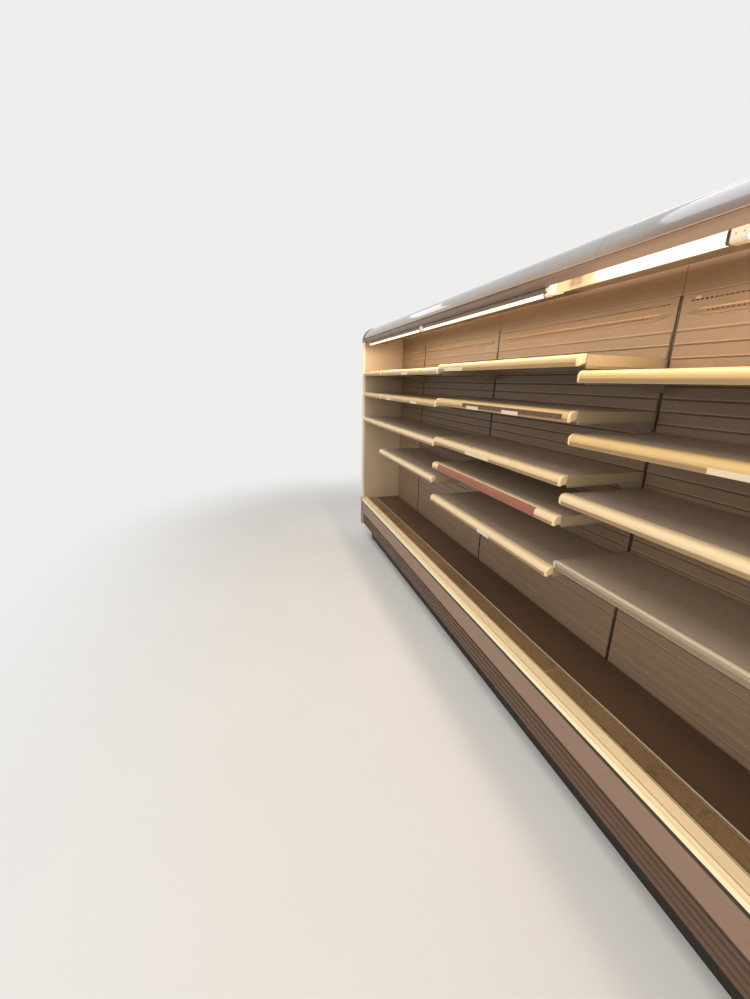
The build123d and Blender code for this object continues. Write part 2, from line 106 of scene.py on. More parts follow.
# Slots of the uprights
SHEET = 0.002
SLOT_OFFSET = 0.0065
SLOT_WIDTH = 0.004
HOOK_SLOT_HEIGHT = 0.017
FREE_SLOT_HEIGHT = 0.014
SLOT_PITCH = 0.025
HOOK_SLOT_DROPS = (0.0075, 0.0325)
SLOTTED_TOP = 1.935

# Back panels
RIDGE_RELIEF = 0.003
RIDGE_PITCH = 0.047
RIDGE_SLOPE = 0.004
FIRST_RIDGE = 0.455
LAST_RIDGE = 1.850
AIR_ROWS = (1.877, 1.916)
AIR_SLOT = (0.008, 0.0038)
AIR_PITCH = 0.0155
AIR_END_MARGINS = (0.062, 0.030)
BAND_RELIEF = 0.005
BAND_HALF_HEIGHT = 0.0135
BAND_ROUNDING = 0.005
BAND_ROUND_SHARES = ((0.12, 0.35), (0.45, 0.75))
BAND_TAPER = 0.060
BAND_END_MARGIN = 0.015
WIDE_FROM = 1.938
JOINT_GAP = 0.018
EDGE_STRIP = 0.0025
BRACKET_ROOM = 0.002
PLUG_PLACE = (0.905, 1.924)
PLUG_REACH = (0.011, 0.006)
PLUG_HEIGHT = 0.0015
PLUG_DOME = ((1.0, 0.0), (0.94, 0.6), (0.75, 0.95), (0.4, 1.0))
WALL_FRONT = 0.240

# Return air grilles and air outlets
LOUVRE_PITCH = 0.0062
LOUVRE_THICKNESS = 0.0034
LOUVRE_DEPTH = 0.007
LOUVRE_DROP = 0.0006
LOUVRE_LEAN = 0.0022
CROSS_BAR_PITCH = 0.094
CROSS_BAR_HALF = 0.001
CROSS_BAR_REACH = 0.002
GRILLE_RIM = 0.005
CELL_PITCH = 0.012
CELL_WALL = 0.0009
OUTLET_RIM = 0.004

# Coping, with its grooves by their starts from the front
COPING_ROUND = 0.008
COPING_LAP = 0.006
COPING_LAP_SHEET = 0.0028
COPING_EDGE = 0.001
COPING_GROOVES = (0.0090, 0.0535)
COPING_GROOVE_DEPTH = 0.0015
COPING_GROOVE_SLOPE = 0.0004
COPING_GROOVE_WIDTH = 0.0026

# Nose, and the seams between panels
SEAM = 0.0012
NOSE_SHEET = 0.003
NOSE_LIP = 0.008
NOSE_FLANGE = 0.022

# Ticket rails
TALL_FROM = 0.035
TALL = SimpleNamespace(radius=0.020, head=0.018, groove=0.61, cap_radius=0.020, cap_rear=0.029)
FLAT = SimpleNamespace(radius=0.003, head=0.009, groove=0.40, cap_radius=0.004, cap_rear=0.021)
GROOVE_HEIGHT = 0.0020
GROOVE_DEPTH = 0.0015
RAIL_SKIRT = 0.005
RAIL_FOOT_RADIUS = 0.003
RAIL_IN_CAP = 0.001
CAP_LENGTH = 0.010
CAP_PROUD = 0.0008
CAP_DOME = 0.006
CAP_FOOT = 0.007
STRIP_PROUD = 0.0005
STRIP_END_GAP = 0.012
STRIP_FOOT = 0.002
STRIP_TOP_GAP = 0.0006
TICKET_REACH = (0.001, 0.004)

# Coloured strips: bay, shelf from below, start, end, foot over the rail's, degrees over its head, colour
STRIPS = {
    "strip_brown_grey": ("middle_bay", 3, 0.054, 0.800, 0.009, 22, (84, 62, 42)),
    "strip_salmon": ("middle_bay", 1, -0.200, 0.720, 0.002, 62, (142, 84, 64)),
}

# Blank price tickets: bay, shelf from below, start and end
TICKETS = (
    ("middle_bay", 4, -0.186, 0.026), ("middle_bay", 3, 0.100, 0.215), ("middle_bay", 3, 0.420, 0.540),
    ("middle_bay", 2, 0.124, 0.349), ("far_bay", 3, -0.900, -0.780), ("far_bay", 2, -1.250, -1.130),
    ("far_bay", 2, -0.700, -0.585), ("middle_bay", 0, 0.310, 0.420), ("near_bay", 2, 1.330, 1.440),
)

# Lamps, and how near two faces are that touch
TOUCH = 0.001
COVER_FRONT_ROUND = 0.006
COVER_BACK_ROUND = 0.024
COVER_LEDGE = 0.002
SOCKET_ROUND = 0.008
SOCKET_BODY = 0.013
SOCKET_COVER = (0.002, 0.012)
COLLAR_RADIUS = 0.0095
TUBE_CAP_LENGTH = 0.012
TUBE_CAP_PROUD = 0.0006
HOUSING_ROUND = 0.008
HOUSING_SEAM_ENDS = (0.006, 0.004)
HOUSING_SEAM = (0.0085, 0.0095)
HOUSING_SEAM_PROUD = 0.0006
SCREW_ENDS = (0.012, 0.010)
SCREW_DROP = 0.012
SCREW_REACH = 0.0024
SCREW_HEIGHT = 0.0011
SCREW_DOME = ((1.0, 0.0), (0.85, 7 / 11), (0.5, 1.0))

# Places along X and heights where tints begin and where they are full, most of them painted light and shade
BARE_TUBES = (0.610, 0.580)
COVERED_LAMPS = (0.66, 0.95)
NOSE_TOP_REFLECTION = (2.075, 2.112)
NOSE_WARM_REFLECTION = (2.068, 2.021)
NOSE_REFLECTION_DARKENS_ALONG = (0.80, 1.15)
VALANCE_UPPER_LIGHT_AND_SHADE = (2.004, 2.020)
VALANCE_FOOT_SHADE = (2.006, 1.990)
VALANCE_LIT = (2.018, 2.004)
VALANCE_UPPER_LIT_ALONG = (0.2, 0.8)
RAILS_BELOW_LAMP_GLOW = (1.50, 1.16)
HEADER_LIT = (2.0, 2.055)
HEADER_LIT_ALONG = (0.1, 0.6)
HEADER_SHADE = (1.945, 1.985)
CEILING_LINE = (-0.0880, -0.0790)
DECK_FACE = (0.4315, 0.45)

# The same, measured from edges of the covered lamp, the coping and the front panel
LAMP_START = (-0.012, -0.010)
LAMP_DIM = (0.212, 0.150)
LAMP_BURNT = ((0.045, 0.085), (0.150, 0.100))
LAMP_LOWER = (0.010, 0.002)
HOUSING_LIT = ((-0.045, -0.043), (0.001, 0.0))
COPING_FACE_SHADE = (0.0075, 0.0035)
COPING_BEAD_HIGHLIGHT = (-0.013, -0.017)
FRONT_SHADE = (-0.017, -0.013)
FRONT_FOOT_DUST_AND_SHADE = (0.006, 0.001)

# Painted highlight and shade lines round the back panels' band and header fold: edges, softness, colour and
# amount
BAND_HIGHLIGHTS_AND_SHADE = (
    (-0.004, 0.004, 0.001, (120, 92, 68), 0.5),
    (0.007, 0.020, 0.001, (214, 178, 136), 0.7),
    (-0.020, -0.009, 0.001, (204, 170, 130), 0.5),
)
FOLD_SHADE_AND_HIGHLIGHT = (
    (-0.0008, 0.0008, 0.0004, (92, 72, 54), 0.7),
    (0.0024, 0.0040, 0.0006, (190, 158, 122), 0.4),
)


def srgb(colour):
    """The shader's linear colour for one as it looks on a screen, from 0 to 255."""
    parts = [value / 255 for value in colour]
    linear = [p / 12.92 if p <= 0.04045 else ((p + 0.055) / 1.055) ** 2.4 for p in parts]
    return (*linear, 1.0)


class Tree:
    """A node tree whose inputs take values or other nodes' outputs."""

    def __init__(self, tree):
        self.nodes, self.links = tree.nodes, tree.links

    def feed(self, socket, value):
        """Links or sets an input, where a colour of three numbers is one from 0 to 255."""
        if isinstance(value, bpy.types.NodeSocket):
            self.links.new(value, socket)
        elif socket.type == "RGBA" and len(value) == 3:
            socket.default_value = srgb(value)
        else:
            socket.default_value = value

    def give(self, node, **inputs):
        for key, value in inputs.items():
            self.feed(node.inputs[key.replace("_", " ")], value)

    def add(self, kind, **inputs):
        node = self.nodes.new("ShaderNode" + kind)
        self.give(node, **inputs)
        return node.outputs

    def wire(self, kind, values, places=range(5), **settings):
        """A node with its settings, whose inputs take the values by their places."""
        node = self.nodes.new("ShaderNode" + kind)
        for key, value in settings.items():
            setattr(node, key, value)
        for place, value in zip(places, values):
            self.feed(node.inputs[place], value)
        return node.outputs

    def maths(self, operation, first, second=0.0):
        return self.wire("Math", (first, second), operation=operation)[0]

    def seen_directly(self):
        """One for rays from the camera, a mirror or through glass."""
        path = self.add("LightPath")
        total = path["Is Camera Ray"]
        for kind in ("Is Glossy Ray", "Is Transmission Ray"):
            total = self.maths("MAXIMUM", total, path[kind])
        return total


class Finish(Tree):
    """One procedural material, worked out from the place on the cabinet in metres."""

    def __init__(self, colour, rough=0.45, metallic=0.0, coat=0.0):
        self.material = bpy.data.materials.new("finish")
        self.material.use_nodes = True
        super().__init__(self.material.node_tree)
        self.shader = self.nodes["Principled BSDF"]
        self.give(self.shader, Metallic=metallic, Coat_Weight=coat, Coat_Roughness=0.12)
        self.place = self.add("TexCoord")["Object"]
        self.axes = self.add("SeparateXYZ", Vector=self.place)
        self.colour = colour
        self.rough = rough
        self.normal = None

    def span(self, value, low, high, to_low=0.0, to_high=1.0, kind="LINEAR"):
        """The value carried from one range to another, and held at its ends."""
        return self.wire("MapRange", (value, low, high, to_low, to_high), interpolation_type=kind)[0]

    def rise(self, axis, start, end, base=0.0, kind="LINEAR"):
        """A mask that rises between two places along an axis, measured from a base."""
        return self.span(self.axes[axis], base + start, base + end, kind=kind)

    def ease(self, axis, start, end, base=0.0):
        """Such a mask with a soft start and end."""
        return self.rise(axis, start, end, base, "SMOOTHERSTEP")

    def noise(self, size, detail=3.0, along=1):
        """Noise with spots of that size, and so many times longer along X."""
        moved = self.add("Mapping", Vector=self.place, Scale=(1 / along, 1, 1))[0]
        return self.add("TexNoise", Vector=moved, Scale=1 / size, Detail=detail)[0]

    def band(self, axis, low, high, soft=0.001, base=0.0):
        """A mask that is one between two places along an axis, measured from a base."""
        return self.both(
            self.rise(axis, low - soft, low, base),
            self.span(self.axes[axis], base + high, base + high + soft, 1.0, 0.0),
        )

    def lines(self, axis, start, pitch, width):
        """A mask of thin lines that repeat along an axis."""
        turns = self.maths("DIVIDE", self.maths("SUBTRACT", self.axes[axis], start), pitch)
        away = self.maths("PINGPONG", turns, 0.5)
        return self.span(away, 0.5 * width / pitch, 0.9 * width / pitch, 1.0, 0.0)

    def facing(self, axis):
        """A mask of the faces that look along an axis."""
        part = self.add("SeparateXYZ", Vector=self.add("NewGeometry")["Normal"])[axis]
        return self.span(self.maths("ABSOLUTE", part), 0.6, 0.8)

    def both(self, first, second):
        """A mask of where two masks are high together."""
        return self.maths("MULTIPLY", first, second)

    def blend(self, mask, first, second):
        """From the first colour to the second as the mask rises."""
        return self.wire("Mix", (mask, first, second), (0, 6, 7), data_type="RGBA")[2]

    def tint(self, mask, colour, amount=1.0):
        """Mixes a colour in where a mask is high, or where two are."""
        if isinstance(mask, tuple):
            mask = self.both(*mask)
        self.colour = self.blend(self.both(mask, amount), self.colour, colour)
        return self

    def shade(self, mask, dark, light):
        """Darkens the colour where the mask is low, and lightens it where it is high."""
        value = self.span(mask, *NOISE_RANGE, dark, light)
        self.colour = self.add("HueSaturation", Color=self.colour, Value=value)[0]

    def polish(self, mask, low, high):
        """Roughness from one value to another as the mask rises."""
        self.rough = self.span(mask, *NOISE_RANGE, low, high)

    def rounded(self, radius):
        """Softens sharp edges in the light, and returns a mask of them."""
        self.normal = self.wire("Bevel", (radius,), samples=4)[0]
        normals = (self.normal, self.add("NewGeometry")["Normal"])
        return self.span(self.wire("VectorMath", normals, operation="DOT_PRODUCT")["Value"], 0.99, 0.88)

    def relief(self, height, distance):
        """Bump from a height between zero and one, where one stands out."""
        below = {"Normal": self.normal} if self.normal else {}
        self.normal = self.add("Bump", Height=height, Distance=distance, Strength=1.0, **below)[0]

    def glow(self, colour, strength):
        self.give(self.shader, Emission_Color=colour, Emission_Strength=strength)

    def done(self, name):
        self.material.name = name + "_finish"
        self.give(self.shader, Base_Color=self.colour, Roughness=self.rough)
        if self.normal:
            self.give(self.shader, Normal=self.normal)
        return self.material


def lighter(colour, share):
    return tuple(min(255, value * share) for value in colour)


def painted(colour, rough=0.42, metallic=0.0, tone=0.07, dirt=(96, 78, 58), dirty=0.25, worn_and_lit_edges=None, along=1):
    """Painted sheet metal: cloudy tone, a fine skin, faint dirt, and edges lighter as wear and painted
    highlight.
    """
    look = Finish(colour, metallic=metallic)
    edges = look.rounded(0.0012)
    look.shade(look.noise(0.35, 4.0, along), 1 - tone, 1 + tone)
    look.tint(look.span(look.noise(0.022, 5.0), 0.56, 0.75), dirt, dirty)
    # Edges painted lighter: wear and painted highlight.
    look.tint(edges, worn_and_lit_edges or lighter(colour, 1.18), 0.7)
    look.polish(look.noise(0.06, 4.0), rough - 0.07, rough + 0.09)
    look.relief(look.noise(0.0028, 2.0), 0.00003)
    return look


def plastic(colour, rough=0.35, tone=0.05, dirt=(120, 92, 62), dirty=0.22, coat=0.0):
    """Moulded or extruded plastic: even tone, scuffs along its length, slightly dirty pores and edges with
    a painted highlight.
    """
    look = Finish(colour, coat=coat)
    look.give(look.shader, Subsurface_Weight=0.04)
    edges = look.rounded(0.0009)
    look.shade(look.noise(0.25, 3.0, 3), 1 - tone, 1 + tone)
    look.tint(look.span(look.noise(0.009, 5.0, 5), 0.58, 0.74), dirt, dirty)
    # Edges painted lighter: painted highlight.
    look.tint(edges, lighter(colour, 1.1), 0.5)
    look.polish(look.noise(0.03, 4.0, 4), rough - 0.08, rough + 0.12)
    look.relief(look.noise(0.0016, 2.0), 0.00003)
    return look


def card(colour):
    """Card without any print: even colour, faint fibres and slightly yellowed spots."""
    look = Finish(colour, 0.5)
    look.shade(look.noise(0.04, 4.0, 3), 0.95, 1.05)
    look.tint(look.span(look.noise(0.015, 4.0), 0.55, 0.75), (190, 160, 110), 0.15)
    look.relief(look.noise(0.0012, 2.0), 0.00002)
    return look


def outer_skin(colour, seams):
    """Coated sheet with the seams of its panels, and dust that gathers low down."""
    look = painted(colour, 0.48, tone=0.05)
    for x in seams:
        seam = look.band(0, -SEAM, SEAM, SEAM / 2, x)
        look.tint(seam, (52, 46, 40), 0.8)
        look.relief(look.maths("SUBTRACT", 1.0, seam), SEAM)
    return look.tint((look.rise(2, 0.9, 0.15), look.noise(0.12, 5.0)), (118, 104, 88), 0.5)


def solids(node):
    """The boxes of the solids in a CAD node, in order along X and then upwards."""
    bm = bmesh.new()
    bm.from_mesh(frame["nodes"][node].data)
    bmesh.ops.remove_doubles(bm, verts=bm.verts, dist=1e-6)
    boxes = []
    left = set(bm.verts)
    while left:
        seen = [left.pop()]
        for vertex in seen:
            near = {edge.other_vert(vertex) for edge in vertex.link_edges} & left
            left -= near
            seen += near
        boxes.append([Vector([end(v.co[axis] for v in seen) for axis in range(3)]) for end in (min, max)])
    bm.free()
    return sorted(boxes, key=lambda box: (round(box[0].x, 3), box[0].z))


def join_rings(bm, rings):
    """Closes a row of rings with as many points each into one skin."""
    count = len(rings[0])
    for one, other in zip(rings, rings[1:]):
        for n in range(count):
            m = (n + 1) % count
            bm.faces.new((one[n], one[m], other[m], other[n]))
    bm.faces.new(rings[0][::-1])
    bm.faces.new(rings[-1])


def prism(bm, section, x_low, x_high):
    """A section of (y, z) corners carried along X, with both ends closed."""
    join_rings(bm, [[bm.verts.new((x, y, z)) for y, z in section] for x in (x_low, x_high)])


def block(bm, x, y, z):
    """A box from its low and high values along each axis."""
    prism(bm, [(y[0], z[0]), (y[1], z[0]), (y[1], z[1]), (y[0], z[1])], *x)


def arc(middle, radius, start, end, steps):
    """Points (y, z) round a middle, by angles in degrees from +Y towards +Z."""
    angles = [radians(start + (end - start) * n / steps) for n in range(steps + 1)]
    return [(middle[0] + radius * cos(a), middle[1] + radius * sin(a)) for a in angles]


def put(name, data):
    """A new object in the scene."""
    obj = bpy.data.objects.new(name, data)
    bpy.context.scene.collection.objects.link(obj)
    return obj


def put_mesh(name, bm, material):
    """A new object from a mesh in the making."""
    mesh = bpy.data.meshes.new(name)
    bm.to_mesh(mesh)
    bm.free()
    mesh.materials.append(material)
    return put(name, mesh)


def piece(name, bm, slot, replaced=(), finish=None, bevel=0.0, smooth=35):
    """A finished piece of the cabinet, with another finish, its own by name, or its slot's."""
    bmesh.ops.recalc_face_normals(bm, faces=bm.faces)
    obj = put_mesh(name, bm, finishes.get(finish or name) or finishes[slot])
    obj.data.polygons.foreach_set("use_smooth", [True] * len(obj.data.polygons))
    obj.data.set_sharp_from_angle(angle=radians(smooth))
    if bevel:
        rounding = obj.modifiers.new("rounding", "BEVEL")
        rounding.width = bevel
        rounding.segments = 2
        rounding.limit_method = "ANGLE"
    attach(obj, "root")
    if replaced:
        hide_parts(*replaced)


def dress(node, material):
    """Gives a CAD node its finish."""
    data = frame["nodes"][node].data
    if not data.materials:
        data.materials.append(material)
    for n in range(len(data.materials)):
        data.materials[n] = material


# Places read from the frame
deck_boxes = solids("deck_pans")
bay_limits = {name: (box[0].x, box[1].x) for name, box in zip(BAYS, deck_boxes)}
shelf_tops = {name: [box[1].z for box in solids(name + "_shelves")] for name in BAYS}
upright_boxes = solids("uprights")
joints = [(box[0].x + box[1].x) / 2 for box in upright_boxes]
joints[0], joints[-1] = upright_boxes[0][0].x, upright_boxes[-1][1].x


def column_slots(bay):
    """Middles and heights of an upright's slots beside a bay: for hooks, and free ones."""
    hooks = sorted(top - drop for top in shelf_tops[bay] for drop in HOOK_SLOT_DROPS)
    slots = [(z, HOOK_SLOT_HEIGHT) for z in hooks]
    for below, above in zip(hooks, hooks[1:]):
        steps = round((above - below) / SLOT_PITCH)
        slots += [(below + (above - below) * n / steps, FREE_SLOT_HEIGHT) for n in range(1, steps)]
    below, above = (hooks[0], deck_boxes[0][1].z, -SLOT_PITCH), (hooks[-1], SLOTTED_TOP, SLOT_PITCH)
    for end, limit, step in (below, above):
        slots += [(end + step * n, FREE_SLOT_HEIGHT) for n in range(1, int((limit - end) / step))]
    return sorted(slots)


def slotted_plate(bm, spans, axis, slots):
    """A plate with slots across it, as the bars that they leave along an axis."""
    start, end = spans[axis]
    for middle, size in slots:
        block(bm, *spans[:axis], (start, middle - size / 2), *spans[axis + 1:])
        start = middle + size / 2
    block(bm, *spans[:axis], (start, end), *spans[axis + 1:])


def build_uprights():
    bm = bmesh.new()
    for n, (low, high) in enumerate(upright_boxes):
        face = (low.y, low.y + SHEET)
        z = (low.z, high.z)
        columns = []
        for side, bay in ((-1, n - 1), (1, n)):
            if 0 <= bay < len(BAYS):
                middle = joints[n] + side * SLOT_OFFSET
                x = (middle - SLOT_WIDTH / 2, middle + SLOT_WIDTH / 2)
                slotted_plate(bm, (x, face, z), 2, column_slots(BAYS[bay]))
                columns.append((middle, SLOT_WIDTH))
        slotted_plate(bm, ((low.x, high.x), face, z), 0, columns)
        for x in ((low.x, low.x + SHEET), (high.x - SHEET, high.x)):
            block(bm, x, (face[1], high.y), z)
    piece("slotted_uprights", bm, "upright_paint", ["uprights"])


def build_back_panels():
    low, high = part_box("back_panels")
    face = high.y - SHEET
    crest = face - RIDGE_RELIEF
    bm = bmesh.new()
    for bay, (box_low, box_high) in zip(BAYS, solids("back_panels")):
        x = (bay_limits[bay][0] + JOINT_GAP / 2, bay_limits[bay][1] - JOINT_GAP / 2)
        wide = (box_low.x, box_high.x)
        line = [(face, low.z), (face, FIRST_RIDGE)]
        for n in range(int((LAST_RIDGE - FIRST_RIDGE) / RIDGE_PITCH + 0.001)):
            base = FIRST_RIDGE + n * RIDGE_PITCH
            top = base + RIDGE_PITCH
            line += [(crest, base + RIDGE_SLOPE), (crest, top - RIDGE_SLOPE), (face, top)]
        half = AIR_SLOT[1] / 2
        line.append((face, AIR_ROWS[0] - half))
        prism(bm, line + [(y + SHEET, z) for y, z in reversed(line)], *x)

        sheet_y = (face, face + SHEET)
        rows = []
        for z, margin in zip(AIR_ROWS, AIR_END_MARGINS):
            count = int((x[1] - x[0] - 2 * margin) / AIR_PITCH)
            first = (x[0] + x[1] - count * AIR_PITCH) / 2
            rows.append([(first + n * AIR_PITCH, AIR_SLOT[0]) for n in range(count + 1)])
            slotted_plate(bm, (x, sheet_y, (z - half, z + half)), 0, rows[-1])
        block(bm, x, sheet_y, (AIR_ROWS[0] + half, AIR_ROWS[1] - half))
        block(bm, x, sheet_y, (AIR_ROWS[1] + half, WIDE_FROM))
        block(bm, wide, sheet_y, (WIDE_FROM, high.z))
        build_band(bm, (x[0] + BAND_END_MARGIN, x[1] - BAND_END_MARGIN), face, rows[0])
        build_edge_strips(bm, bay, x, sheet_y, low.z)
    piece("ridged_back_panels", bm, "back_paint", ["back_panels"])


def build_edge_strips(bm, bay, x, y, foot):
    """Narrow strips along a panel's edges, left out where a bracket passes."""
    brackets = solids(bay + "_brackets")
    for side, edge in ((-1, x[0]), (1, x[1])):
        strip = sorted((edge, edge + side * EDGE_STRIP))
        own = [(low.z, high.z) for low, high in brackets if side * (low.x - sum(x) / 2) > 0]
        below = foot
        for start, end in sorted(own):
            if start - BRACKET_ROOM > below:
                block(bm, strip, y, (below, start - BRACKET_ROOM))
            below = max(below, end + BRACKET_ROOM)
        block(bm, strip, y, (below, WIDE_FROM))


def build_band(bm, ends, face, slots):
    """The raised band round the lower air slots, with rounded edges and a tip at both ends."""
    inner = (ends[0] + BAND_TAPER, ends[1] - BAND_TAPER)
    crest = face - BAND_RELIEF
    half = AIR_SLOT[1] / 2
    z = AIR_ROWS[0]
    own = [slot for slot in slots if inner[0] + slot[1] < slot[0] < inner[1] - slot[1]]
    slotted_plate(bm, (inner, (crest, face), (z - half, z + half)), 0, own)
    for side in (-1, 1):
        near, far = z + side * half, z + side * BAND_HALF_HEIGHT
        bend = far - side * BAND_ROUNDING
        line = [(face, near), (crest, near), (crest, bend)]
        for rise, run in BAND_ROUND_SHARES:
            line.append((crest + BAND_RELIEF * rise, bend + side * BAND_ROUNDING * run))
        prism(bm, line + [(face, far)], *inner)
        for tip, base in zip(ends, inner):
            corners = [bm.verts.new(place) for place in (
                (base, crest, z), (base, crest, bend), (base, face, far), (tip, face, z), (base, face, z),
            )]
            for a, b, c in ((0, 1, 3), (1, 2, 3), (2, 4, 3)):
                bm.faces.new((corners[a], corners[b], corners[c]))


def build_plug():
    """A small oval plug in the near bay's back panel."""
    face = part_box("back_panels")[1].y - SHEET
    bm = bmesh.new()
    dome(bm, (PLUG_PLACE[0], face, PLUG_PLACE[1]), PLUG_REACH, PLUG_HEIGHT, PLUG_DOME, 24)
    piece("panel_plug", bm, "back_paint")


def dome(bm, place, reach, height, profile, sides):
    """A low dome on a face towards -Y, by the shares of its reach and height at each ring."""
    x, y, z = place
    turns = [2 * pi * n / sides for n in range(sides)]
    join_rings(bm, [[bm.verts.new((
        x + reach[0] * wide * cos(a), y - height * high, z + reach[1] * wide * sin(a),
    )) for a in turns] for wide, high in profile])


def rim(bm, low, high, width, z):
    """A flat frame in a box's outline, and the spans that it leaves open."""
    inner_x = (low.x + width, high.x - width)
    inner_y = (low.y + width, high.y - width)
    for y in ((low.y, inner_y[0]), (inner_y[1], high.y)):
        block(bm, (low.x, high.x), y, z)
    for x in ((low.x, inner_x[0]), (inner_x[1], high.x)):
        block(bm, x, inner_y, z)
    return inner_x, inner_y


def build_grilles():
    bm = bmesh.new()
    for low, high in solids("return_air_grilles"):
        top = high.z
        inner_x, inner_y = rim(bm, low, high, GRILLE_RIM, (top - SHEET, top))
        for y in ((low.y, low.y + SHEET), (high.y - SHEET, high.y)):
            block(bm, (low.x, high.x), y, (low.z, top - SHEET))
        count = round((inner_y[1] - inner_y[0]) / LOUVRE_PITCH)
        step = (inner_y[1] - inner_y[0]) / count
        for n in range(1, count):
            y = inner_y[0] + n * step
            front, back = y - LOUVRE_THICKNESS / 2, y + LOUVRE_THICKNESS / 2
            prism(bm, [
                (front, top - LOUVRE_DROP),
                (back, top - LOUVRE_DROP),
                (back + LOUVRE_LEAN, top - LOUVRE_DEPTH),
                (front + LOUVRE_LEAN, top - LOUVRE_DEPTH),
            ], *inner_x)
        bars = round((inner_x[1] - inner_x[0]) / CROSS_BAR_PITCH)
        z = (top - LOUVRE_DEPTH - CROSS_BAR_REACH, top - LOUVRE_DEPTH + CROSS_BAR_REACH)
        for n in range(1, bars):
            x = inner_x[0] + (inner_x[1] - inner_x[0]) * n / bars
            block(bm, (x - CROSS_BAR_HALF, x + CROSS_BAR_HALF), inner_y, z)
    piece("louvred_grilles", bm, "grille_metal", ["return_air_grilles"])


def build_outlets():
    """Air outlets as rims around a honeycomb of open cells."""
    bm = bmesh.new()
    for low, high in solids("air_outlet_grilles"):
        z = (low.z, high.z)
        inner_x, inner_y = rim(bm, low, high, OUTLET_RIM, z)
        rows = int((inner_y[1] - inner_y[0]) / (CELL_PITCH * sqrt(3) / 2))
        row_step = (inner_y[1] - inner_y[0]) / rows
        columns = int((inner_x[1] - inner_x[0]) / CELL_PITCH)
        column_step = (inner_x[1] - inner_x[0]) / (columns + 0.5)
        for row in range(rows):
            for column in range(columns):
                x = inner_x[0] + column_step * (column + 0.5 + 0.5 * (row % 2))
                y = inner_y[0] + row_step * (row + 0.5)
                honeycomb_cell(bm, x, y, column_step, row_step, z)
    piece("honeycomb_outlets", bm, "outlet_plastic", ["air_outlet_grilles"], smooth=20)


def honeycomb_cell(bm, x, y, width, step, z):
    """One open six-sided cell: a ring at its lower face and the walls inside it."""
    shrink = 1 - 2 * CELL_WALL / width
    rings = [[bm.verts.new((
        x + cos(a) / cos(radians(30)) * width / 2 * share,
        y + sin(a) * step * 2 / 3 * share,
        height,
    )) for a in [radians(60 * n + 30) for n in range(6)]] for share, height in (
        (1, z[0]), (shrink, z[0]), (shrink, z[1]),
    )]
    for n in range(6):
        m = (n + 1) % 6
        for one, other in zip(rings, rings[1:]):
            bm.faces.new((one[n], one[m], other[m], other[n]))


def build_nose():
    """The curved nose, in lengths that meet at thin seams over the uprights."""
    low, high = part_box("canopy_nose")
    rise, reach = high.z - low.z, high.y - low.y
    radius = (rise ** 2 + reach ** 2) / (2 * rise)
    middle = (high.y, high.z - radius)
    start = 180 - degrees(asin((low.z - middle[1]) / radius))
    inner_radius = radius - NOSE_SHEET
    inner_start = 180 - degrees(asin((low.z + NOSE_SHEET - middle[1]) / inner_radius))
    inner_end = 90 + degrees(asin(NOSE_SHEET / inner_radius))
    flange = high.z - NOSE_SHEET - NOSE_FLANGE
    section = arc(middle, radius, start, 90, 40)
    section += [(high.y, flange), (high.y - NOSE_SHEET, flange)]
    section += arc(middle, inner_radius, inner_end, inner_start, 30)
    section += [(low.y + NOSE_LIP, low.z + NOSE_SHEET), (low.y + NOSE_LIP, low.z)]
    bm = bmesh.new()
    for left, right in zip(joints, joints[1:]):
        gap_left = 0 if left == joints[0] else SEAM / 2
        gap_right = 0 if right == joints[-1] else SEAM / 2
        prism(bm, section, left + gap_left, right - gap_right)
    piece("curved_nose", bm, "nose_metal", ["canopy_nose"], smooth=20)


def rail_kind(low, high):
    """The measures of a rail's kind, and the height of its groove."""
    kind = TALL if high.z - low.z > TALL_FROM else FLAT
    return kind, high.z - (high.z - low.z) * kind.groove


def rail_section(low, high):
    """A ticket rail's section, which fills its CAD box: rounded head, groove and skirt."""
    kind, groove = rail_kind(low, high)
    return [
        (high.y, high.z),
        *arc((low.y + kind.radius, high.z - kind.radius), kind.radius, 90, 180, 14),
        (low.y, groove),
        (low.y + GROOVE_DEPTH, groove),
        (low.y + GROOVE_DEPTH, groove - GROOVE_HEIGHT),
        (low.y, groove - GROOVE_HEIGHT),
        *arc((low.y + RAIL_FOOT_RADIUS, low.z + RAIL_FOOT_RADIUS), RAIL_FOOT_RADIUS, 180, 270, 4),
        (low.y + RAIL_SKIRT, low.z),
        (low.y + RAIL_SKIRT, high.z - kind.head),
        (high.y, high.z - kind.head),
    ]


def cap_section(low, high):
    """A rail's end cap: the rail's own round, a foot below it and a sloped underside."""
    kind, _ = rail_kind(low, high)
    radius = kind.cap_radius
    return [
        (high.y, high.z + CAP_PROUD),
        *arc((low.y + radius, high.z - radius), radius + CAP_PROUD, 90, 180, 14),
        *arc((low.y + CAP_FOOT, low.z + CAP_FOOT), CAP_FOOT + CAP_PROUD / 2, 180, 260, 6),
        (high.y, high.z - kind.cap_rear),
    ]


def domed_cap(bm, section, root, tip):
    """An end cap from its root to its domed outer face."""
    middle = [sum(values) / len(values) for values in zip(*section)]
    half = [(max(values) - min(values)) / 2 for values in zip(*section)]
    outward = 1 if tip > root else -1
    steps = [(root, 0.0)]
    for n in range(6):
        turn = radians(90 * n / 5)
        steps.append((tip - outward * CAP_DOME * (1 - sin(turn)), CAP_DOME * (1 - cos(turn))))
    rings = []
    for x, inset in steps:
        shares = [1 - inset / reach for reach in half]
        rings.append([bm.verts.new((
            x, middle[0] + (y - middle[0]) * shares[0], middle[1] + (z - middle[1]) * shares[1],
        )) for y, z in section])
    join_rings(bm, rings)


